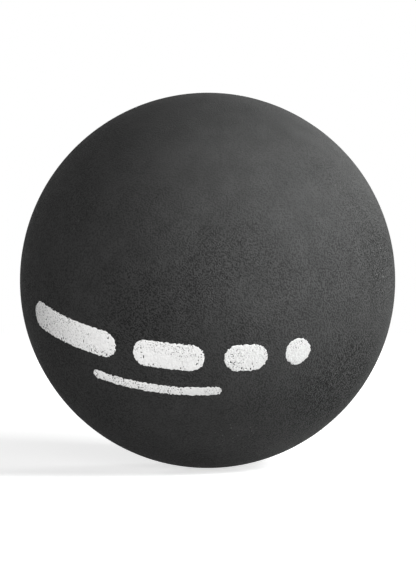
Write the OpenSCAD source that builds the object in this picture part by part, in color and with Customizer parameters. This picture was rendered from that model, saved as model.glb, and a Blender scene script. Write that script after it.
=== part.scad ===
// Squash ball: two moulded rubber half shells, cemented rim to rim, buffed round and printed.
// The origin is the ball's centre. The seam lies in the XZ plane, and the front half faces -Y.

/* [Ball] */
// Diameter over the finished outside
ball_d = 40; // [36:0.5:50]
// Thickness of the rubber wall
wall = 5.2; // [3:0.1:8]

/* [Seam] */
// Thickness of the cured cement between the two rims
cement_t = 0.2; // [0.1:0.05:0.5]
// Chamfer along the inner edge of each ground rim
rim_chamfer = 0.6; // [0.45:0.05:1.2]
// Height of the squeezed-out bead above the cavity's wall
bead_h = 0.35; // [0.15:0.05:0.45]
// Depth of the hairline that buffing leaves along the seam
hairline = 0.03; // [0.01:0.01:0.1]

/* [Print] */
// Thickness of the ink film
ink_t = 0.04; // [0.02:0.01:0.1]
// Angle from the front of the ball down to the printed row
row_drop = 21.5; // [0:0.5:30]
// Angle along the row from the front of the ball to the row's middle, towards -X
row_turn = 15.5; // [-16:0.5:16]
// Lean of the row about the line from front to rear, with its -X end higher
row_lean = 1.5; // [-5:0.5:5]
// Length of the row's first and longest dash, over its round ends
dash_l = 12.5; // [10:0.5:14]
// Length of each next dash, as a share of the one before
dash_share = 0.6; // [0.55:0.05:0.7]
// Height of the dashes and of the dot that ends the row
dash_h = 2.9; // [1.5:0.1:2.9]
// Bare stretch between neighbours in the row
row_gap = 2; // [1:0.1:3]
// Length of the thin line under the row, over its round ends
line_l = 14; // [6:0.5:24]
// Height of the thin line
line_h = 1; // [0.5:0.1:1.6]
// Distance along the surface from the row's middle down to the thin line's middle
line_drop = 4; // [3:0.1:6]

/* [Hidden] */

$fn = 128;

rubber_colour = "#2d2e2f";
cement_colour = "#1b1b1c";
ink_colour = "#e8e5df";

// Run of a cutter past the face that it cuts
overrun = 0.5;

ball_r = ball_d / 2;
cavity_r = ball_r - wall;
rim_y = cement_t / 2;

// The bead's outline is an arc from chamfer to chamfer, bead_h high over the cavity's wall
bead_half = rim_y + rim_chamfer;
bead_r = (bead_half * bead_half + bead_h * bead_h) / (2 * bead_h);
bead_x = cavity_r - bead_h + bead_r;

// Dashes in the printed row, before its dot
dashes = 3;

// Angle at the centre for a length along the surface
function turn_of(length) = length / ball_r * 180 / PI;

// Length of a dash, counted from 0
function dash_length(i) = dash_l * pow(dash_share, i);

// Distance along the row from its start to where a dash or the dot begins
function dash_start(i) = i == 0 ? 0 : dash_start(i - 1) + dash_length(i - 1) + row_gap;

// Distance along the row from its middle
function from_middle(distance) = distance - (dash_start(dashes) + dash_h) / 2;

// Turns a revolved shape so that its +Z end faces the front
module facing_front() {
    rotate([90, 0, 0]) children();
}

// Section of one half: X is the distance from the shell's axis, Y the height over the seam plane
module half_section() {
    difference() {
        intersection() {
            circle(r = ball_r);
            translate([0, rim_y]) square(ball_d);
        }
        circle(r = cavity_r);
        polygon([
            [cavity_r + rim_chamfer, rim_y],
            [cavity_r - rim_chamfer, rim_y + 2 * rim_chamfer],
            [cavity_r - rim_chamfer, rim_y]
        ]);
    }
}

// Section of the cement: a sheet between the rims that ends in a bead, with both halves taken out
module cement_section() {
    difference() {
        intersection() {
            circle(r = ball_r - hairline);
            union() {
                translate([bead_x, -rim_y]) square([wall, cement_t]);
                translate([bead_x, 0]) circle(r = bead_r);
            }
        }
        half_section();
        mirror([0, 1]) half_section();
    }
}

// Moulded half of the ball, with its ground rim and the chamfer that takes the squeezed-out cement
module half_shell() {
    facing_front() rotate_extrude() half_section();
}

module front_half_shell() {
    color(rubber_colour) half_shell();
}

module rear_half_shell() {
    color(rubber_colour) mirror([0, 1, 0]) half_shell();
}

// Ring of cured cement that joins the rims, with its bead round the inside
module seam_cement() {
    color(cement_colour) facing_front() rotate_extrude() cement_section();
}

// Ink film over the whole ball, which the strokes below cut to their outlines
module ink_film() {
    difference() {
        sphere(r = ball_r + ink_t);
        sphere(r = ball_r);
    }
}

// Moves a stroke along the printed row
module along_row(distance) {
    rotate([0, 0, turn_of(distance)]) children();
}

// Cutter for a round spot on the front of the ball
module spot(spot_d) {
    translate([0, overrun - ball_r, 0]) rotate([90, 0, 0]) cylinder(d = spot_d, h = 2 * overrun);
}

// Cutter for a round-ended stroke that follows the ball's curve, centred on the front
module stroke(length, height) {
    reach = (length - height) / 2;
    for (end = [-1, 1]) {
        along_row(end * reach) spot(height);
    }
    rotate([0, 0, -90 - turn_of(reach)]) rotate_extrude(angle = 2 * turn_of(reach)) {
        translate([ball_r - overrun, -height / 2]) square([2 * overrun, height]);
    }
}

// Plain printed row of dashes that get shorter and a dot, with a thin line under its middle
module printed_mark() {
    color(ink_colour) intersection() {
        ink_film();
        rotate([row_drop, row_lean, 0]) rotate([0, 0, -row_turn]) {
            for (i = [0:dashes - 1]) {
                along_row(from_middle(dash_start(i) + dash_length(i) / 2)) {
                    stroke(dash_length(i), dash_h);
                }
            }
            along_row(from_middle(dash_start(dashes) + dash_h / 2)) spot(dash_h);
            rotate([turn_of(line_drop), 0, 0]) stroke(line_l, line_h);
        }
    }
}

front_half_shell();
rear_half_shell();
seam_cement();
printed_mark();
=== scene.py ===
"""A squash ball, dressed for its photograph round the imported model.

The ball is made of two buffed rubber half shells, the cured cement between their rims and a plain
printed mark. Lengths are in metres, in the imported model's frame: the ball's centre is the origin,
the seam lies in the XZ plane and the printed half faces -Y.
"""

import itertools
import logging
from dataclasses import dataclass
from enum import Enum

import bpy
import numpy as np
from mathutils import Matrix, Vector


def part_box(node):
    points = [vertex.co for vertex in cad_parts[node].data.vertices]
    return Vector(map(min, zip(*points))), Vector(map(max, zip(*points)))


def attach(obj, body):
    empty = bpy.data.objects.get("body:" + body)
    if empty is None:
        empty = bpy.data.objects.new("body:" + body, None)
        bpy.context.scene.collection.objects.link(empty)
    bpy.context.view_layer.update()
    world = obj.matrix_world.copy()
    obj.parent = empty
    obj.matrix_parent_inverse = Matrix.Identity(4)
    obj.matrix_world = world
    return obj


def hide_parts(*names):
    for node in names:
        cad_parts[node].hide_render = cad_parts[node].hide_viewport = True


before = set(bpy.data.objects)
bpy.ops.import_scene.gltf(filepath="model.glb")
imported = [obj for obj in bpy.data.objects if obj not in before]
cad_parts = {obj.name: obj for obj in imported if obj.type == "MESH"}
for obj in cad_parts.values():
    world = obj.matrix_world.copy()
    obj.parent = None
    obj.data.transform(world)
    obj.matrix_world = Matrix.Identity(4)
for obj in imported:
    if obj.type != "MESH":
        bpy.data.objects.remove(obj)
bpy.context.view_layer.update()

log = logging.getLogger("squash_ball")

MM = 0.001
BODY = "root"

Span = tuple[float, float]
Place = tuple[float, float, float]
Colour = tuple[float, float, float, float]


class Facing(Enum):
    """The two halves of the ball. The value is the sign of Y on that half."""

    FRONT = -1
    REAR = 1


class Slot(Enum):
    """The record's material slots."""

    RUBBER = "ball_rubber"
    CEMENT = "rubber_cement"
    INK = "print_ink"


@dataclass(frozen=True)
class LatticeNoise:
    """Smooth seeded noise over space, from 0 to 1.

    Random values sit at the corners of a lattice of cubes. Along each axis the value goes from one
    corner to the next by the ease 6t^5 - 15t^4 + 10t^3, and the lattice repeats after `count` cubes.
    """

    cube: float
    seed: int
    count: int = 48

    def at(self, places: np.ndarray) -> np.ndarray:
        """Works out the noise at many places at once.

        Args:
            places: Points in metres, with X, Y and Z along the last axis.

        Returns:
            One value from 0 to 1 for each point.
        """
        values = np.random.default_rng(self.seed).random((self.count,) * 3)
        scaled = places / self.cube
        corner = np.floor(scaled).astype(int)
        part = scaled - corner
        ease = part**3 * (part * (6 * part - 15) + 10)
        total = np.zeros(places.shape[:-1])
        for step in itertools.product((0, 1), repeat=3):
            weight = np.prod(np.where(step, ease, 1 - ease), axis=-1)
            index = np.moveaxis((corner + step) % self.count, -1, 0)
            total += weight * values[tuple(index)]
        return total


@dataclass(frozen=True)
class BallSizes:
    """Sizes that the pieces share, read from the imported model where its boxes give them."""

    radius: float
    rim_y: float
    bead_half: float
    wall: float = 5.2 * MM
    bead_height: float = 0.35 * MM
    hairline: float = 0.03 * MM
    rim_round: float = 0.035 * MM
    ink: float = 0.04 * MM

    @classmethod
    def from_frame(cls) -> "BallSizes":
        """Reads the ball's radius, the rim's place and the bead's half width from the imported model.

        Returns:
            The sizes of this ball.
        """
        rear_low, rear_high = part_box("rear_half_shell")
        _, cement_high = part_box("seam_cement")
        return cls(radius=rear_high.y, rim_y=rear_low.y, bead_half=cement_high.y)

    @property
    def cavity(self) -> float:
        """Radius of the hollow inside."""
        return self.radius - self.wall

    @property
    def chamfer(self) -> float:
        """Width of the chamfer along the inner edge of each rim."""
        return self.bead_half - self.rim_y


@dataclass(frozen=True)
class BuffedOutside:
    """The buffed outside: a sphere that dips inwards by hundredths of a millimetre.

    Its reach in a direction is the ball's radius less, for each noise, that noise at the sphere's
    point there times its depth. Both halves and the print share it, so they meet without a step.
    """

    radius: float
    swell_depth: float = 0.014 * MM
    ripple_depth: float = 0.006 * MM
    swell: LatticeNoise = LatticeNoise(cube=5.2 * MM, seed=11)
    ripple: LatticeNoise = LatticeNoise(cube=1.5 * MM, seed=12)

    def reach(self, directions: np.ndarray) -> np.ndarray:
        """Gives the distance from the centre to the outside.

        Args:
            directions: Unit vectors from the centre.

        Returns:
            One distance in metres for each direction.
        """
        places = directions * self.radius
        dips = self.swell_depth * self.swell.at(places) + self.ripple_depth * self.ripple.at(places)
        return self.radius - dips


class Skin:
    """The points and four-sided faces of one closed surface, gathered as whole arrays."""

    def __init__(self) -> None:
        """Starts with no points and no faces."""
        self._points: list[np.ndarray] = []
        self._faces: list[np.ndarray] = []
        self._count = 0

    def place(self, points: np.ndarray) -> np.ndarray:
        """Adds points and numbers them.

        Args:
            points: Points in metres, with X, Y and Z along the last axis.

        Returns:
            The points' numbers, laid out as the points are.
        """
        flat = points.reshape(-1, 3)
        numbers = self._count + np.arange(len(flat)).reshape(points.shape[:-1])
        self._points.append(flat)
        self._count += len(flat)
        return numbers

    def cover(self, numbers: np.ndarray, round_rows: bool = False, round_columns: bool = False,
              turned: bool = False) -> None:
        """Covers a grid of points with faces.

        A face's outside is where the rows' direction crossed with the columns' direction points.

        Args:
            numbers: The grid of point numbers.
            round_rows: Whether the last row joins the first.
            round_columns: Whether the last column joins the first.
            turned: Whether the outside is the other side.
        """
        if round_rows:
            numbers = np.concatenate([numbers, numbers[:1]])
        if round_columns:
            numbers = np.concatenate([numbers, numbers[:, :1]], axis=1)
        corners = [numbers[:-1, :-1], numbers[1:, :-1], numbers[1:, 1:], numbers[:-1, 1:]]
        self.face(np.stack(corners, axis=-1).reshape(-1, 4), turned)

    def face(self, faces: np.ndarray, turned: bool = False) -> None:
        """Adds faces, each given by the numbers of its four corners.

        Args:
            faces: Corner numbers, four to a row.
            turned: Whether the corners run the wrong way round and are reversed.
        """
        self._faces.append(faces[:, ::-1] if turned else faces)

    def finish(self, name: str, crease_degrees: float = 40.0) -> bpy.types.Object:
        """Makes the surface an object, smooth but for its sharp edges, and drops unused points.

        Args:
            name: The new object's name.
            crease_degrees: An edge that bends more than this stays sharp.

        Returns:
            The object, linked to the scene.
        """
        used, corners = np.unique(np.concatenate(self._faces), return_inverse=True)
        points = np.concatenate(self._points)[used]
        corners = corners.ravel()
        mesh = bpy.data.meshes.new(name)
        mesh.vertices.add(len(points))
        mesh.vertices.foreach_set("co", points.astype(np.float32).ravel())
        mesh.loops.add(len(corners))
        mesh.loops.foreach_set("vertex_index", corners.astype(np.int32))
        mesh.polygons.add(len(corners) // 4)
        mesh.polygons.foreach_set("loop_start", np.arange(0, len(corners), 4, dtype=np.int32))
        mesh.update(calc_edges=True)
        mesh.shade_smooth()
        mesh.set_sharp_from_angle(angle=np.radians(crease_degrees))
        piece = bpy.data.objects.new(name, mesh)
        bpy.context.scene.collection.objects.link(piece)
        return piece


def dome_directions(steps: int, rim_angle: float, facing: Facing) -> np.ndarray:
    """Directions over a cap of the sphere, on a square grid with no pole.

    A point (u, v) of the square from -1 to 1 goes to the ring max(|u|, |v|). Its turn round the ring
    is an eighth of a circle times the smaller of u and v over the larger, counted from the larger's
    own axis. Its angle from the cap's middle is the ring times the rim's angle.

    Args:
        steps: Cells along each side of the square.
        rim_angle: Angle from the cap's middle to its rim, in radians.
        facing: The half whose pole is the cap's middle.

    Returns:
        Unit vectors, one for each point of the grid.
    """
    side = np.linspace(-1, 1, steps + 1)
    u, v = np.meshgrid(side, side, indexing="ij")
    wide = np.abs(u) >= np.abs(v)
    ring = np.where(wide, u, v)
    share = np.where(wide, v, u) / np.where(ring == 0, 1, ring)
    turn = np.where(wide, share, 2 - share) * np.pi / 4
    away = ring * rim_angle
    return np.stack([np.sin(away) * np.cos(turn), facing.value * np.cos(away),
                     np.sin(away) * np.sin(turn)], axis=-1)


def border(numbers: np.ndarray) -> np.ndarray:
    """The numbers round the edge of a square grid, once round from its first corner."""
    return np.concatenate([numbers[:-1, 0], numbers[-1, :-1], numbers[:0:-1, -1], numbers[0, :0:-1]])


def ring_points(distance: np.ndarray, height: np.ndarray, turn: np.ndarray) -> np.ndarray:
    """Points of a profile carried round the Y axis.

    A profile point at a distance from the axis and a height along it goes, at each turn, to the
    distance times (cosine, 0, sine) of the turn, plus the height along Y.

    Args:
        distance: Distances from the axis, which broadcast with the turns.
        height: Places along Y, which broadcast with the turns.
        turn: Angles round the axis, in radians.

    Returns:
        One point for each profile point and turn.
    """
    distance, height, turn = np.broadcast_arrays(distance, height, turn)
    return np.stack([distance * np.cos(turn), height, distance * np.sin(turn)], axis=-1)


class NodeSheet:
    """Shader nodes written in order into one tree."""

    def __init__(self, tree: bpy.types.NodeTree) -> None:
        """Empties the tree.

        Args:
            tree: The node tree of a material or a world.
        """
        self.tree = tree
        self.tree.nodes.clear()

    def add(self, kind: str, inputs: dict[str | int, object] | None = None,
            **settings: object) -> bpy.types.Node:
        """Adds a node.

        Args:
            kind: The node's type.
            inputs: A value, or a socket to link, for each named or numbered input.
            **settings: The node's own settings.

        Returns:
            The new node.
        """
        node = self.tree.nodes.new(kind)
        for name, value in settings.items():
            setattr(node, name, value)
        for name, value in (inputs or {}).items():
            if isinstance(value, bpy.types.NodeSocket):
                self.tree.links.new(value, node.inputs[name])
            else:
                node.inputs[name].default_value = value
        return node

    def sum(self, operation: str, first: object, second: object = 0.0) -> bpy.types.NodeSocket:
        """One step of arithmetic on two values or sockets."""
        return self.add("ShaderNodeMath", {0: first, 1: second}, operation=operation).outputs[0]

    def ease(self, value: bpy.types.NodeSocket, low: float, high: float, start: object = 0.0,
             end: object = 1.0) -> bpy.types.NodeSocket:
        """Goes smoothly from start to end as the value goes from low to high."""
        inputs = {"Value": value, "From Min": low, "From Max": high, "To Min": start, "To Max": end}
        node = self.add("ShaderNodeMapRange", inputs, interpolation_type="SMOOTHSTEP")
        return node.outputs[0]

    def blend(self, share: object, first: object, second: object) -> bpy.types.NodeSocket:
        """A colour that goes from the first to the second as the share goes from 0 to 1."""
        node = self.add("ShaderNodeMix", {0: share, 6: first, 7: second}, data_type="RGBA")
        return node.outputs[2]

    def is_seen(self) -> bpy.types.NodeSocket:
        """1 where the camera sees this itself, in a gloss or through something clear, or else 0."""
        path = self.add("ShaderNodeLightPath")
        seen = self.sum("MAXIMUM", path.outputs["Is Camera Ray"], path.outputs["Is Glossy Ray"])
        return self.sum("MAXIMUM", seen, path.outputs["Is Transmission Ray"])


class Recipe(NodeSheet):
    """A material's nodes, from the coordinates to the surface."""

    def __init__(self, name: str) -> None:
        """Starts a material that reads Object coordinates, which are metres from the ball's centre.

        Args:
            name: The material's name.
        """
        self.material = bpy.data.materials.new(name)
        self.material.use_nodes = True
        super().__init__(self.material.node_tree)
        self.where = self.add("ShaderNodeTexCoord").outputs["Object"]

    def noise(self, size: float, detail: float = 2.0, rough: float = 0.5, warp: float = 0.0,
              where: bpy.types.NodeSocket | None = None) -> bpy.types.NodeSocket:
        """Noise with features of a given size in metres, about 0.5 on average."""
        inputs = {"Vector": where or self.where, "Scale": 1 / size, "Detail": detail,
                  "Roughness": rough, "Distortion": warp}
        return self.add("ShaderNodeTexNoise", inputs).outputs[0]

    def cells(self, size: float) -> bpy.types.Node:
        """Scattered points about a given distance apart in metres, each with its own cell."""
        return self.add("ShaderNodeTexVoronoi", {"Vector": self.where, "Scale": 1 / size})

    def away_from(self, middle: Place) -> bpy.types.NodeSocket:
        """Distance from a place in metres."""
        inputs = {0: self.where, 1: middle}
        return self.add("ShaderNodeVectorMath", inputs, operation="DISTANCE").outputs["Value"]

    def bump(self, height: bpy.types.NodeSocket, depth: float) -> bpy.types.NodeSocket:
        """A normal bent by a height from 0 to 1 that stands for a depth in metres."""
        return self.add("ShaderNodeBump", {"Height": height, "Distance": depth}).outputs[0]

    def surface(self, **inputs: object) -> bpy.types.Material:
        """Ends the material in one shader.

        Args:
            **inputs: The shader's inputs, with underscores for spaces.

        Returns:
            The finished material.
        """
        named = {name.replace("_", " "): value for name, value in inputs.items()}
        shader = self.add("ShaderNodeBsdfPrincipled", named)
        self.add("ShaderNodeOutputMaterial", {"Surface": shader.outputs[0]})
        return self.material


@dataclass(frozen=True)
class Patch:
    """A stretch of the skin round a place: whole up to `near` from it and gone from `far` on."""

    at: Place
    near: float
    far: float
    wander: float = 3.0 * MM

    def share(self, recipe: Recipe, inside: float, outside: float) -> bpy.types.NodeSocket:
        """Goes from one value inside the patch to another outside it, with an uneven edge."""
        uneven = recipe.sum("MULTIPLY", recipe.noise(2 * self.wander), self.wander)
        away = recipe.sum("ADD", recipe.away_from(self.at), uneven)
        return recipe.ease(away, self.near, self.far, inside, outside)


@dataclass(frozen=True)
class RubberGrain:
    """Fine relief that buffing leaves on the rubber, which shows through the print too.

    The whole ball has a grain of fine bumps and hollows, broken wrinkles and scattered pits. It is
    faintest in the `smooth` patch, high on the front, and a little stronger in the `creased` one, left
    of the middle. It is strongest in the `rough` patch, low on the right, and the `worn` one, at the
    right edge, where short slanted scuffs lie over it and the rubber carries a painted sheen.
    """

    fine: float = 0.165 * MM
    between_bumps: Span = (0.30, 0.62)
    between_share: float = 0.64
    crease_spacing: float = 0.5 * MM
    crease_warp: float = 0.6
    crease_width: float = 0.06
    crease_breaks: float = 1.2 * MM
    crease_kept: Span = (0.42, 0.62)
    crease_height: float = 0.12
    crease_share: float = 0.4
    pit_spacing: float = 0.85 * MM
    pit_edge: Span = (0.06, 0.20)
    pit_clusters: float = 2.55 * MM
    pit_kept: Span = (0.52, 0.60)
    pit_height: float = 0.25
    drift: float = 6.0 * MM
    drift_span: Span = (0.35, 0.65)
    drift_share: float = 0.75
    smooth: Patch = Patch((1.0 * MM, -10.0 * MM, 17.3 * MM), 9.0 * MM, 21.0 * MM)
    smooth_share: float = 0.42
    rough: Patch = Patch((14.4 * MM, -9.3 * MM, -10.3 * MM), 3.0 * MM, 11.0 * MM)
    rough_share: float = 1.75
    worn: Patch = Patch((18.6 * MM, -7.0 * MM, 2.2 * MM), 2.0 * MM, 10.0 * MM)
    worn_share: float = 1.6
    creased: Patch = Patch((-7.3 * MM, -18.3 * MM, -3.4 * MM), 2.5 * MM, 10.0 * MM)
    creased_share: float = 1.28
    scuff: float = 0.25 * MM
    scuff_peaks: Span = (0.64, 0.70)
    scuff_stretch: float = 2.0
    scuff_slant: float = np.radians(-38.0)

    def bumps(self, recipe: Recipe) -> bpy.types.NodeSocket:
        """The fine bumps, as a height from 0 to 1."""
        return recipe.noise(self.fine, detail=0.0)

    def creases(self, recipe: Recipe) -> bpy.types.NodeSocket:
        """Short wrinkles: the line where a noise is one half, broken up by a coarser noise."""
        line = recipe.noise(self.crease_spacing, warp=self.crease_warp)
        off_line = recipe.sum("ABSOLUTE", recipe.sum("SUBTRACT", line, 0.5))
        on_line = recipe.ease(off_line, 0.0, self.crease_width, 1.0, 0.0)
        broken = recipe.ease(recipe.noise(self.crease_breaks), *self.crease_kept)
        return recipe.sum("MULTIPLY", on_line, broken)

    def pits(self, recipe: Recipe) -> bpy.types.NodeSocket:
        """Small round pits at some of the scattered points, and the scuffs in the rough and worn patches."""
        cells = recipe.cells(self.pit_spacing)
        hole = recipe.ease(cells.outputs["Distance"], *self.pit_edge, 1.0, 0.0)
        chosen = recipe.ease(recipe.noise(self.pit_clusters), *self.pit_kept)
        scuffed = recipe.sum("MULTIPLY", self._scuffs(recipe), self.scuffs_and_sheen(recipe))
        return recipe.sum("MAXIMUM", recipe.sum("MULTIPLY", hole, chosen), scuffed)

    def _scuffs(self, recipe: Recipe) -> bpy.types.NodeSocket:
        """Short nicks, longer along one slant: the peaks of a noise that is stretched that way."""
        inputs = {"Vector": recipe.where, "Rotation": (0.0, self.scuff_slant, 0.0),
                  "Scale": (self.scuff_stretch, 1.0, 1.0)}
        stretched = recipe.add("ShaderNodeMapping", inputs, vector_type="TEXTURE").outputs[0]
        return recipe.ease(recipe.noise(self.scuff, detail=0.0, where=stretched), *self.scuff_peaks)

    def scuffs_and_sheen(self, recipe: Recipe) -> bpy.types.NodeSocket:
        """Where the scuffs and the rubber's painted sheen lie: 1 in the rough and the worn patch and 0 away
        from both.
        """
        patches = [patch.share(recipe, 1.0, 0.0) for patch in (self.rough, self.worn)]
        return recipe.sum("MAXIMUM", *patches)

    def height(self, recipe: Recipe, bumps: bpy.types.NodeSocket, creases: bpy.types.NodeSocket,
               pits: bpy.types.NodeSocket) -> bpy.types.NodeSocket:
        """The relief: fine bumps, less the wrinkles and the pits."""
        wrinkled = recipe.sum("SUBTRACT", bumps, recipe.sum("MULTIPLY", creases, self.crease_height))
        return recipe.sum("SUBTRACT", wrinkled, recipe.sum("MULTIPLY", pits, self.pit_height))

    def hollows(self, recipe: Recipe, bumps: bpy.types.NodeSocket, creases: bpy.types.NodeSocket,
                pits: bpy.types.NodeSocket) -> bpy.types.NodeSocket:
        """How deep in a hollow a place is, from 0 to 1; the rubber's painted shade and its rougher gloss
        follow it.
        """
        between = recipe.ease(bumps, *self.between_bumps, self.between_share, 0.0)
        sunk = recipe.sum("MAXIMUM", between, recipe.sum("MULTIPLY", creases, self.crease_share))
        return recipe.sum("MAXIMUM", sunk, pits)

    def vigour(self, recipe: Recipe) -> bpy.types.NodeSocket:
        """How strong the relief is from place to place, where 1 is the plain strength."""
        drift = recipe.noise(self.drift, detail=1.0)
        vigour = recipe.ease(drift, *self.drift_span, self.drift_share, 1.0)
        for patch, share in ((self.smooth, self.smooth_share), (self.rough, self.rough_share),
                             (self.worn, self.worn_share), (self.creased, self.creased_share)):
            vigour = recipe.sum("MULTIPLY", vigour, patch.share(recipe, share, 1.0))
        return vigour


@dataclass(frozen=True)
class BuffedRubber:
    """Matt black rubber with a fine buffed grain, faint mottling and a few pale specks of dust.

    The specks lie in faint patches all over and in two slightly clearer ones, low on the front and
    at the right edge. The grain's hollows, wrinkles and pits carry a painted shade, and the rough and
    worn patches a painted sheen that makes the rubber lighter there.
    """

    grain: RubberGrain = RubberGrain()
    dark: Colour = (0.0245, 0.0245, 0.0245, 1.0)
    pale: Colour = (0.0318, 0.0318, 0.0318, 1.0)
    # Painted shade: the near-black that the grain's hollows, wrinkles and pits are darkened towards.
    hollow: Colour = (0.009, 0.009, 0.009, 1.0)
    speck: Colour = (0.20, 0.20, 0.195, 1.0)
    mottle: float = 2.2 * MM
    mottle_span: Span = (0.3, 0.7)
    speck_spacing: float = 0.6 * MM
    speck_edge: Span = (0.05, 0.17)
    faint_dust: float = 4.0 * MM
    faint_span: Span = (0.58, 0.66)
    faint_share: float = 0.2
    low_dust: Patch = Patch((3.0 * MM, -12.2 * MM, -15.6 * MM), 1.5 * MM, 5.5 * MM)
    low_share: float = 0.55
    edge_dust: Patch = Patch((18.6 * MM, -7.2 * MM, 1.5 * MM), 2.5 * MM, 8.5 * MM)
    edge_share: float = 0.4
    buffing: float = 1.1 * MM
    buffing_span: Span = (0.3, 0.7)
    roughness: Span = (0.74, 0.82)
    deepest: float = 0.8
    specular: float = 0.09
    depth: float = 0.09 * MM

    def material(self) -> bpy.types.Material:
        """Writes the rubber's nodes and returns the material."""
        recipe = Recipe("buffed_rubber")
        relief = [self.grain.bumps(recipe), self.grain.creases(recipe), self.grain.pits(recipe)]
        vigour = self.grain.vigour(recipe)
        mottled = recipe.ease(recipe.noise(self.mottle, detail=5.0, rough=0.7), *self.mottle_span)
        # Painted sheen: the rubber is lighter in the rough patch, low on the right, and the worn one at the
        # right edge, over its own mottling.
        mottle_and_sheen = recipe.sum("MAXIMUM", mottled, self.grain.scuffs_and_sheen(recipe))
        colour = recipe.blend(mottle_and_sheen, self.dark, self.pale)
        # Painted shade: the grain's hollows, wrinkles and pits are darkened, more where the relief is
        # stronger.
        hollows = recipe.sum("MULTIPLY", self.grain.hollows(recipe, *relief), vigour)
        colour = recipe.blend(hollows, colour, self.hollow)
        colour = recipe.blend(self._dust(recipe, vigour), colour, self.speck)
        buffed = recipe.ease(recipe.noise(self.buffing, detail=3.0), *self.buffing_span, *self.roughness)
        gloss = recipe.ease(hollows, 0.0, self.deepest, buffed, 1.0)
        height = recipe.sum("MULTIPLY", self.grain.height(recipe, *relief), vigour)
        normal = recipe.bump(height, self.depth)
        return recipe.surface(Base_Color=colour, Roughness=gloss, Specular_IOR_Level=self.specular,
                              Normal=normal)

    def _dust(self, recipe: Recipe, vigour: bpy.types.NodeSocket) -> bpy.types.NodeSocket:
        """The specks of dust, which are clearer where the grain that holds them is stronger."""
        cells = recipe.cells(self.speck_spacing)
        specks = recipe.ease(cells.outputs["Distance"], *self.speck_edge, vigour, 0.0)
        dusty = recipe.ease(recipe.noise(self.faint_dust), *self.faint_span, 0.0, self.faint_share)
        for patch, share in ((self.low_dust, self.low_share), (self.edge_dust, self.edge_share)):
            dusty = recipe.sum("MAXIMUM", dusty, patch.share(recipe, share, 0.0))
        return recipe.sum("MULTIPLY", specks, dusty)


@dataclass(frozen=True)
class CuredCement:
    """Cured rubber cement: black, smoother than the rubber beside it and a little darker."""

    dark: Colour = (0.008, 0.008, 0.008, 1.0)
    pale: Colour = (0.015, 0.015, 0.015, 1.0)
    flow: float = 0.9 * MM
    flow_warp: float = 1.2
    flow_span: Span = (0.3, 0.7)
    skin: float = 0.5 * MM
    skin_span: Span = (0.3, 0.7)
    roughness: Span = (0.60, 0.72)
    specular: float = 0.15
    depth: float = 0.01 * MM

    def material(self) -> bpy.types.Material:
        """Writes the cement's nodes and returns the material."""
        recipe = Recipe("cured_cement")
        flow = recipe.noise(self.flow, detail=4.0, warp=self.flow_warp)
        colour = recipe.blend(recipe.ease(flow, *self.flow_span), self.dark, self.pale)
        gloss = recipe.ease(recipe.noise(self.skin), *self.skin_span, *self.roughness)
        return recipe.surface(Base_Color=colour, Roughness=gloss, Specular_IOR_Level=self.specular,
                              Normal=recipe.bump(flow, self.depth))


@dataclass(frozen=True)
class PadInk:
    """Matt off-white ink with painted shade towards +X, cloudy, with pinholes and the rubber's grain under
    it.

    The pinholes lie in patches and are thickest at the row's -X end.
    """

    grain: RubberGrain = RubberGrain()
    white: Colour = (0.88, 0.875, 0.87, 1.0)
    thin: Colour = (0.79, 0.785, 0.78, 1.0)
    # The grey of the pinholes, and the grey that the ink's painted shade darkens it towards.
    bare_and_shade: Colour = (0.10, 0.10, 0.10, 1.0)
    cloud: float = 0.3 * MM
    cloud_span: Span = (0.36, 0.66)
    # Painted shade: between these two places along X the ink darkens, at most by the share below. The first
    # place is also where the pinholes are thickest.
    row_start: float = -16.5 * MM
    shade_end: float = 14.0 * MM
    deepest_shade: float = 0.67
    pinhole: float = 0.14 * MM
    pinhole_peaks: Span = (0.58, 0.67)
    starved: float = 2.2 * MM
    starved_span: Span = (0.42, 0.60)
    speckled_to: float = -9.0 * MM
    speckled_share: float = 0.75
    roughness: Span = (0.5, 0.62)
    specular: float = 0.3
    depth: float = 0.03 * MM

    def material(self) -> bpy.types.Material:
        """Writes the ink's nodes and returns the material."""
        recipe = Recipe("pad_ink")
        relief = [self.grain.bumps(recipe), self.grain.creases(recipe), self.grain.pits(recipe)]
        cloudy = recipe.ease(recipe.noise(self.cloud, detail=3.0, rough=0.65), *self.cloud_span)
        across = recipe.add("ShaderNodeSeparateXYZ", {0: recipe.where}).outputs["X"]
        # Painted shade: the ink is darkened towards +X, where the lamps light it more, so that it renders
        # evenly along the row.
        ink_shade = recipe.ease(across, self.row_start, self.shade_end, 0.0, self.deepest_shade)
        colour = recipe.blend(ink_shade, recipe.blend(cloudy, self.white, self.thin), self.bare_and_shade)
        patchy = recipe.ease(recipe.noise(self.starved, detail=1.0), *self.starved_span)
        speckled = recipe.ease(across, self.row_start, self.speckled_to, self.speckled_share, 0.0)
        pinholes = recipe.ease(recipe.noise(self.pinhole, detail=1.0), *self.pinhole_peaks)
        holed = recipe.sum("MULTIPLY", pinholes, recipe.sum("MAXIMUM", patchy, speckled))
        colour = recipe.blend(holed, colour, self.bare_and_shade)
        gloss = recipe.ease(cloudy, 0.0, 1.0, *self.roughness)
        normal = recipe.bump(self.grain.height(recipe, *relief), self.depth)
        return recipe.surface(Base_Color=colour, Roughness=gloss, Specular_IOR_Level=self.specular,
                              Normal=normal)


def dress(piece: bpy.types.Object, node: str, material: bpy.types.Material) -> None:
    """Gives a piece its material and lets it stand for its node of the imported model.

    Args:
        piece: The finished object.
        node: The node that it replaces.
        material: The material of all its faces.
    """
    piece.data.materials.append(material)
    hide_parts(node)
    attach(piece, BODY)
    log.info("%s: %d points, %d faces", piece.name, len(piece.data.vertices), len(piece.data.polygons))


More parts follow.
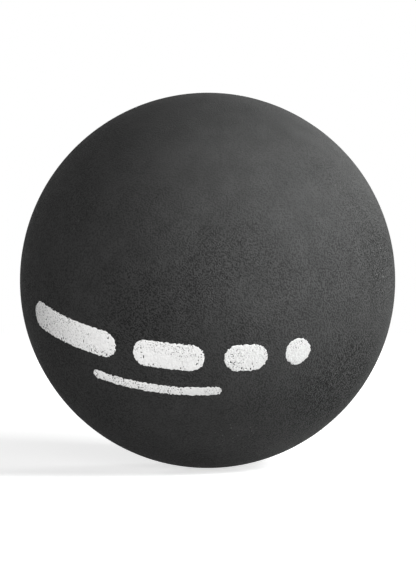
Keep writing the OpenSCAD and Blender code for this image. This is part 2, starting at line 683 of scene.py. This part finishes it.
@dataclass(frozen=True)
class HalfShell:
    """One moulded half of the ball: buffed outside, ground rim, inner chamfer and smooth inside."""

    sizes: BallSizes
    outside: BuffedOutside
    facing: Facing
    steps: int = 200
    round_rows: int = 5
    rim_rows: int = 6

    def build(self) -> bpy.types.Object:
        """Builds the closed shell.

        The outside and the inside are two caps on square grids. A profile carried round their
        borders joins them: the rim's rounded outer edge, its flat face and the chamfer.

        Returns:
            The shell's object.
        """
        sizes = self.sizes
        skin = Skin()
        mirrored = self.facing is Facing.REAR
        edge_height = sizes.rim_y + sizes.rim_round
        outer = dome_directions(self.steps, np.arccos(edge_height / sizes.radius), self.facing)
        inner = dome_directions(self.steps, np.arccos(sizes.bead_half / sizes.cavity), self.facing)
        outer_numbers = skin.place(outer * self.outside.reach(outer)[..., None])
        inner_numbers = skin.place(inner * sizes.cavity)
        edge = border(np.arange(outer[..., 0].size).reshape(outer.shape[:2]))
        turn = np.arctan2(outer[..., 2].ravel()[edge], outer[..., 0].ravel()[edge])
        rim_numbers = skin.place(self._rim(turn))
        strip = np.vstack([border(outer_numbers), rim_numbers, border(inner_numbers)])
        skin.cover(outer_numbers, turned=mirrored)
        skin.cover(strip, round_columns=True, turned=mirrored)
        skin.cover(inner_numbers, turned=not mirrored)
        return skin.finish(f"{self.facing.name.lower()}_half_shell_rubber")

    def _rim(self, turn: np.ndarray) -> np.ndarray:
        """Rows of points over the rim, from just inside the rounded edge to the chamfer's start.

        The rounded edge is a quarter circle that starts level with the outside at that turn.
        """
        sizes = self.sizes
        sign = self.facing.value
        seam_directions = ring_points(1.0, 0.0, turn)
        outer_edge = self.outside.reach(seam_directions) - sizes.rim_round
        bend = np.linspace(0, np.pi / 2, self.round_rows + 1)[1:, None]
        rounded = ring_points(outer_edge + sizes.rim_round * np.cos(bend),
                              sign * (sizes.rim_y + sizes.rim_round * (1 - np.sin(bend))), turn)
        across = np.linspace(0, 1, self.rim_rows + 1)[1:, None]
        chamfer_edge = sizes.cavity + sizes.chamfer
        flat = ring_points(outer_edge + (chamfer_edge - outer_edge) * across, sign * sizes.rim_y, turn)
        return np.concatenate([rounded, flat])

    def dress(self, piece: bpy.types.Object, rubber: bpy.types.Material) -> None:
        """Covers the shell in rubber and lets it stand for its node."""
        dress(piece, f"{self.facing.name.lower()}_half_shell", rubber)


@dataclass(frozen=True)
class SeamCement:
    """The ring of cured cement: a hairline outside, a sheet between the rims, a bead inside."""

    sizes: BallSizes
    outside: BuffedOutside
    around: int = 800
    bead_rows: int = 15
    edge_least: float = 0.4
    bead_least: float = 0.65
    flow: LatticeNoise = LatticeNoise(cube=1.6 * MM, seed=21)
    sag: LatticeNoise = LatticeNoise(cube=7.0 * MM, seed=22)

    def build(self) -> bpy.types.Object:
        """Builds the ring.

        One closed profile is carried round the Y axis. Its outer edge lies under the buffed outside
        by the hairline's depth, and its bead is an arc from chamfer to chamfer whose height swells
        and sinks round the ring, as squeezed-out cement does.

        Returns:
            The ring's object.
        """
        sizes = self.sizes
        turn = np.linspace(0, 2 * np.pi, self.around, endpoint=False)
        seam_directions = ring_points(1.0, 0.0, turn)
        seam_places = seam_directions * sizes.radius
        uneven = self.flow.at(seam_places) + self.sag.at(seam_places)
        sunk = sizes.hairline * (self.edge_least + (1 - self.edge_least) * uneven)
        edge = self.outside.reach(seam_directions) - sunk
        chamfer_edge = np.full_like(turn, sizes.cavity + sizes.chamfer)
        wall = np.sqrt(sizes.cavity**2 - sizes.bead_half**2)
        sweep = np.linspace(-1, 1, self.bead_rows)[:, None]
        swell = sizes.bead_height * (self.bead_least + (1 - self.bead_least) * uneven)
        bead = wall - swell * (1 - sweep**2)
        distance = np.vstack([edge, edge, chamfer_edge, bead, chamfer_edge])
        rim = sizes.rim_y
        height = np.concatenate([[-rim, rim, rim], sizes.bead_half * sweep[::-1, 0], [-rim]])
        skin = Skin()
        numbers = skin.place(ring_points(distance, height[:, None], turn))
        skin.cover(numbers, round_rows=True, round_columns=True)
        return skin.finish("seam_cement_ring")

    def dress(self, piece: bpy.types.Object, cement: bpy.types.Material) -> None:
        """Gives the ring its finish and lets it stand for its node."""
        dress(piece, "seam_cement", cement)


@dataclass(frozen=True)
class Stroke:
    """One round-ended patch of the print. A stroke as long as it is high is a dot."""

    length: float
    height: float
    along: float = 0.0
    below: float = 0.0

    def distance(self, s: np.ndarray, t: np.ndarray) -> np.ndarray:
        """Distance to the outline, negative inside.

        It is the distance to the middle line, which is shorter than the stroke by its height, less
        half the height.

        Args:
            s: Places along the stroke, from its middle.
            t: Places across it.

        Returns:
            One distance in metres for each place.
        """
        past_end = np.maximum(np.abs(s) - (self.length - self.height) / 2, 0)
        return np.hypot(past_end, t) - self.height / 2


@dataclass(frozen=True)
class PrintedMark:
    """The plain printed row: dashes that get shorter and a dot, with a thin line under its middle."""

    sizes: BallSizes
    outside: BuffedOutside
    drop: float = np.radians(21.5)
    turn: float = np.radians(15.5)
    lean: float = np.radians(1.5)
    dash: float = 12.5 * MM
    dash_share: float = 0.6
    dashes: int = 3
    height: float = 2.9 * MM
    gap: float = 2.0 * MM
    line: Span = (14.0 * MM, 1.0 * MM)
    line_drop: float = 4.0 * MM
    cell: float = 0.06 * MM
    ragged: float = 0.16 * MM
    sunk: float = 0.004 * MM
    teeth: LatticeNoise = LatticeNoise(cube=0.17 * MM, seed=31)
    pinholes: LatticeNoise = LatticeNoise(cube=0.15 * MM, seed=32)
    starved: LatticeNoise = LatticeNoise(cube=1.6 * MM, seed=33)
    starved_share: float = 0.35
    hole_depth: float = 0.15 * MM
    hole_level: float = 1.10
    margin_cells: int = 4
    thin_cells: float = 1.5
    thin_share: float = 0.35
    slide_cells: float = 0.4
    least_slope: float = 0.05

    def strokes(self) -> list[Stroke]:
        """The row's dashes and its dot, from -X to +X, and then the thin line."""
        lengths = [self.dash * self.dash_share**i for i in range(self.dashes)] + [self.height]
        begins = np.cumsum([0.0] + [length + self.gap for length in lengths])
        middle = (begins[-1] - self.gap) / 2
        row = [Stroke(length, self.height, along=begin + length / 2 - middle)
               for begin, length in zip(begins, lengths)]
        return row + [Stroke(*self.line, below=self.line_drop)]

    def build(self) -> bpy.types.Object:
        """Builds the ink film, one closed patch for each stroke, as one object."""
        skin = Skin()
        for stroke in self.strokes():
            self._lay(skin, stroke)
        return skin.finish("printed_mark_ink", crease_degrees=60.0)

    def _outline(self, stroke: Stroke, s: np.ndarray, t: np.ndarray) -> np.ndarray:
        """A stroke's worn outline, negative where there is ink.

        It is the greater of two values: the distance to the plain outline, moved in and out by the
        noise that makes the edge ragged, and how far the fine noise and a share of the coarse one
        stand over the level at which the ink opens into a pinhole.
        """
        place = np.stack([s + stroke.along, t - stroke.below, np.zeros_like(s)], axis=-1)
        edge = stroke.distance(s, t) + self.ragged * (self.teeth.at(place) - 0.5)
        thirst = self.pinholes.at(place) + self.starved_share * self.starved.at(place)
        return np.maximum(edge, self.hole_depth * (thirst - self.hole_level))

    def _directions(self, stroke: Stroke, s: np.ndarray, t: np.ndarray) -> np.ndarray:
        """Where places on a stroke lie on the ball.

        A place has the longitude s / radius and the latitude t / radius, from the front of the
        ball. It is tilted down to the stroke's own line and turned along the row, and then the row
        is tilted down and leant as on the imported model.
        """
        east, north = s / self.sizes.radius, t / self.sizes.radius
        flat = np.stack([np.sin(east) * np.cos(north), -np.cos(east) * np.cos(north), np.sin(north)],
                        axis=-1)
        tilt = Matrix.Rotation(stroke.below / self.sizes.radius, 3, "X")
        along = Matrix.Rotation(stroke.along / self.sizes.radius - self.turn, 3, "Z")
        row = Matrix.Rotation(self.lean, 3, "Y") @ Matrix.Rotation(self.drop, 3, "X")
        return flat @ np.array(row @ along @ tilt).T

    def _lay(self, skin: Skin, stroke: Stroke) -> None:
        """Lays one stroke's film.

        Cells of a fine grid are kept where their middles hold ink. The corners at the edge of what
        is kept slide onto the outline by one step down its slope. The top stands the ink's
        thickness over the outside, less along the edge, and the bottom lies just under the outside.
        """
        margin = self.margin_cells * self.cell
        columns = np.arange(-stroke.length / 2 - margin, stroke.length / 2 + margin, self.cell)
        rows = np.arange(-stroke.height / 2 - margin, stroke.height / 2 + margin, self.cell)
        s, t = np.meshgrid(columns, rows, indexing="ij")
        middles = self._outline(stroke, s[:-1, :-1] + self.cell / 2, t[:-1, :-1] + self.cell / 2)
        kept = joined_at_corners(middles < 0)
        s, t = self._slide(stroke, s, t, kept)
        directions = self._directions(stroke, s, t)
        outside = self.outside.reach(directions)
        depth_in = np.clip(-self._outline(stroke, s, t) / (self.thin_cells * self.cell), 0, 1)
        full = depth_in * (2 - depth_in)
        lift = self.sizes.ink * (self.thin_share + (1 - self.thin_share) * full)
        top = skin.place(directions * (outside + lift)[..., None])
        bottom = skin.place(directions * (outside - self.sunk)[..., None])
        for numbers, turned in ((top, False), (bottom, True)):
            corners = [numbers[:-1, :-1], numbers[1:, :-1], numbers[1:, 1:], numbers[:-1, 1:]]
            skin.face(np.stack(corners, axis=-1)[kept], turned)
        self._walls(skin, kept, top, bottom)

    def _slide(self, stroke: Stroke, s: np.ndarray, t: np.ndarray,
               kept: np.ndarray) -> tuple[np.ndarray, np.ndarray]:
        """Slides the grid's corners at the edge of the kept cells onto the outline."""
        padded = np.pad(kept, 1)
        around = np.stack([padded[1:, 1:], padded[:-1, 1:], padded[1:, :-1], padded[:-1, :-1]])
        at_edge = around.any(axis=0) & ~around.all(axis=0)
        step = self.cell / 4
        value = self._outline(stroke, s, t)
        slope_s = (self._outline(stroke, s + step, t) - self._outline(stroke, s - step, t)) / (2 * step)
        slope_t = (self._outline(stroke, s, t + step) - self._outline(stroke, s, t - step)) / (2 * step)
        steep = np.maximum(slope_s**2 + slope_t**2, self.least_slope)
        limit = self.slide_cells * self.cell
        move_s = np.where(at_edge, np.clip(-value * slope_s / steep, -limit, limit), 0)
        move_t = np.where(at_edge, np.clip(-value * slope_t / steep, -limit, limit), 0)
        return s + move_s, t + move_t

    @staticmethod
    def _walls(skin: Skin, kept: np.ndarray, top: np.ndarray, bottom: np.ndarray) -> None:
        """Closes the film's edge: a face under each side of a kept cell whose neighbour isn't."""
        padded = np.pad(kept, 1)
        first, last = slice(None, -1), slice(1, None)
        sides = [(padded[1:-1, :-2], (first, first), (last, first)),
                 (padded[2:, 1:-1], (last, first), (last, last)),
                 (padded[1:-1, 2:], (last, last), (first, last)),
                 (padded[:-2, 1:-1], (first, last), (first, first))]
        for neighbour, start, end in sides:
            open_side = kept & ~neighbour
            corners = [top[end], top[start], bottom[start], bottom[end]]
            skin.face(np.stack([corner[open_side] for corner in corners], axis=-1))

    def dress(self, piece: bpy.types.Object, ink: bpy.types.Material) -> None:
        """Inks the film and lets it stand for its node."""
        dress(piece, "printed_mark", ink)


def joined_at_corners(kept: np.ndarray) -> np.ndarray:
    """Fills cells until no two kept cells touch at a corner alone, which keeps the film's edge simple.

    Args:
        kept: A grid that is true where a cell is kept.

    Returns:
        The grid with the filling cells added.
    """
    kept = kept.copy()
    while True:
        a, b, c, d = kept[:-1, :-1], kept[1:, :-1], kept[:-1, 1:], kept[1:, 1:]
        falling = a & d & ~b & ~c
        rising = b & c & ~a & ~d
        if not (falling | rising).any():
            return kept
        kept[1:, :-1] |= falling
        kept[:-1, :-1] |= rising


@dataclass(frozen=True)
class SoftLamp:
    """A square or oblong soft lamp that points at the ball and isn't seen itself."""

    name: str
    azimuth: float
    elevation: float
    width: float
    height: float
    power: float
    distance: float
    colour: Place = (1.0, 1.0, 1.0)

    def build(self) -> bpy.types.Object:
        """Hangs the lamp. Azimuth 0 is in front of the ball, on -Y, and 90 is on +X."""
        light = bpy.data.lights.new(self.name, "AREA")
        light.shape = "RECTANGLE"
        light.size = self.width
        light.size_y = self.height
        light.energy = self.power
        light.color = self.colour
        lamp = bpy.data.objects.new(self.name, light)
        away = direction_to(self.azimuth, self.elevation)
        lamp.location = away * self.distance
        lamp.rotation_euler = away.to_track_quat("Z", "Y").to_euler()
        lamp.visible_camera = False
        bpy.context.scene.collection.objects.link(lamp)
        log.info("%s: %.2f W", self.name, self.power)
        return lamp


def direction_to(azimuth: float, elevation: float) -> Vector:
    """The unit vector from the ball towards an azimuth and an elevation in degrees."""
    turn, rise = np.radians(azimuth), np.radians(elevation)
    return Vector((np.sin(turn) * np.cos(rise), -np.cos(turn) * np.cos(rise), np.sin(rise)))


@dataclass(frozen=True)
class PhotoCamera:
    """The photograph's camera: far off, level with the ball and square to its seam."""

    ball_radius: float
    elevation: float = 2.0
    lens: float = 240.0
    sensor: float = 36.0
    image_width_px: int = 416
    image_height_px: int = 567
    ball_x_px: float = 207.6
    ball_y_px: float = 280.4
    ball_radius_px: float = 187.8
    sees: Span = (0.01, 50.0)

    def build(self) -> bpy.types.Object:
        """Places the camera where the ball's outline has the photograph's size and place.

        The outline's angular radius is the arctangent of its pixels over the focal length in
        pixels, and the distance is the ball's radius over that angle's sine.

        Returns:
            The camera, which is made the scene's own.
        """
        focal_px = self.lens / self.sensor * self.image_height_px
        distance = self.ball_radius / np.sin(np.arctan(self.ball_radius_px / focal_px))
        away = direction_to(0.0, self.elevation)
        right = Vector((1.0, 0.0, 0.0))
        up = away.cross(right)
        metres_per_px = distance / focal_px
        aim = (right * (self.image_width_px / 2 - self.ball_x_px)
               - up * (self.image_height_px / 2 - self.ball_y_px)) * metres_per_px
        camera_data = bpy.data.cameras.new("photo_camera")
        camera_data.lens = self.lens
        camera_data.sensor_width = self.sensor
        camera_data.clip_start, camera_data.clip_end = self.sees
        camera = bpy.data.objects.new("photo_camera", camera_data)
        camera.location = away * distance
        camera.rotation_euler = (camera.location - aim).to_track_quat("Z", "Y").to_euler()
        bpy.context.scene.collection.objects.link(camera)
        bpy.context.scene.camera = camera
        log.info("camera %.1f mm from the ball's centre", distance / MM)
        return camera


@dataclass(frozen=True)
class PaleFloor:
    """A floor that is seen white, keeps the ball's shadow and fades into the white background."""

    level: float
    reach: float = 3.0
    paint: float = 0.80
    bounce: Colour = (0.20, 0.20, 0.20, 1.0)
    near_glow: float = 0.6
    glow_from: float = 0.03
    glow_to: float = 0.16
    paint_to: float = 0.30
    roughness: float = 0.9

    def build(self) -> bpy.types.Object:
        """Lays the floor as one square under the ball."""
        skin = Skin()
        side = np.linspace(-self.reach, self.reach, 3)
        x, y = np.meshgrid(side, side, indexing="ij")
        skin.cover(skin.place(np.stack([x, y, np.full_like(x, self.level)], axis=-1)))
        floor = skin.finish("pale_floor")
        floor.data.materials.append(self._material())
        return floor

    def _material(self) -> bpy.types.Material:
        """Pale paint that is seen to pass into a plain white glow away from the ball.

        What the floor sends back to the ball is the weaker bounce.
        """
        recipe = Recipe("pale_floor")
        seen = recipe.is_seen()
        away = recipe.away_from((0.0, 0.0, 0.0))
        glow = recipe.ease(away, self.glow_from, self.glow_to, self.near_glow, 1.0)
        paint = recipe.ease(away, self.glow_to, self.paint_to, self.paint, 0.0)
        colour = recipe.blend(seen, self.bounce, paint)
        return recipe.surface(Base_Color=colour, Roughness=self.roughness, Specular_IOR_Level=0.0,
                              Emission_Color=(1.0, 1.0, 1.0, 1.0),
                              Emission_Strength=recipe.sum("MULTIPLY", glow, seen))


@dataclass(frozen=True)
class Surroundings:
    """The world: white wherever it is seen, and a dim even light on the ball."""

    light: float = 0.02

    def build(self) -> None:
        """Writes the world's nodes."""
        world = bpy.data.worlds.new("white_surroundings")
        bpy.context.scene.world = world
        world.use_nodes = True
        sheet = NodeSheet(world.node_tree)
        level = sheet.ease(sheet.is_seen(), 0.0, 1.0, self.light, 1.0)
        white = sheet.add("ShaderNodeBackground", {"Color": (1.0, 1.0, 1.0, 1.0), "Strength": level})
        sheet.add("ShaderNodeOutputWorld", {"Surface": white.outputs[0]})


LAMPS = (
    SoftLamp("front_softbox", azimuth=14.0, elevation=9.0, width=0.2, height=0.1, power=0.95, distance=0.45),
    SoftLamp("low_softbox", azimuth=0.0, elevation=4.0, width=0.5, height=0.1, power=6.4, distance=0.9),
    SoftLamp("close_lamp", azimuth=58.0, elevation=26.0, width=0.04, height=0.04, power=0.126, distance=0.08,
             colour=(0.975, 1.0, 0.988)),
    SoftLamp("right_softbox", azimuth=125.0, elevation=9.5, width=0.6, height=0.28, power=0.5, distance=0.9),
    SoftLamp("rear_lamp", azimuth=148.0, elevation=20.0, width=0.1, height=0.08, power=0.235, distance=0.3),
    SoftLamp("back_softbox", azimuth=180.0, elevation=3.0, width=0.15, height=0.06, power=8.0, distance=0.9),
)


def build_studio(sizes: BallSizes) -> None:
    """Sets up the floor, the world, the lamps and the view transform."""
    PaleFloor(level=-sizes.radius).build()
    Surroundings().build()
    for lamp in LAMPS:
        lamp.build()
    bpy.context.scene.view_settings.view_transform = "Standard"


def build_ball(sizes: BallSizes) -> None:
    """Builds and dresses the ball's four pieces."""
    outside = BuffedOutside(sizes.radius)
    rubber = BuffedRubber().material()
    for facing in Facing:
        shell = HalfShell(sizes, outside, facing)
        shell.dress(shell.build(), rubber)
    seam = SeamCement(sizes, outside)
    seam.dress(seam.build(), CuredCement().material())
    mark = PrintedMark(sizes, outside)
    mark.dress(mark.build(), PadInk().material())


def main() -> None:
    """Sets the camera, builds the ball and then the studio round it."""
    logging.basicConfig(level=logging.INFO, format="%(name)s: %(message)s")
    sizes = BallSizes.from_frame()
    PhotoCamera(sizes.radius).build()
    build_ball(sizes)
    build_studio(sizes)


if __name__ == "__main__":
    main()
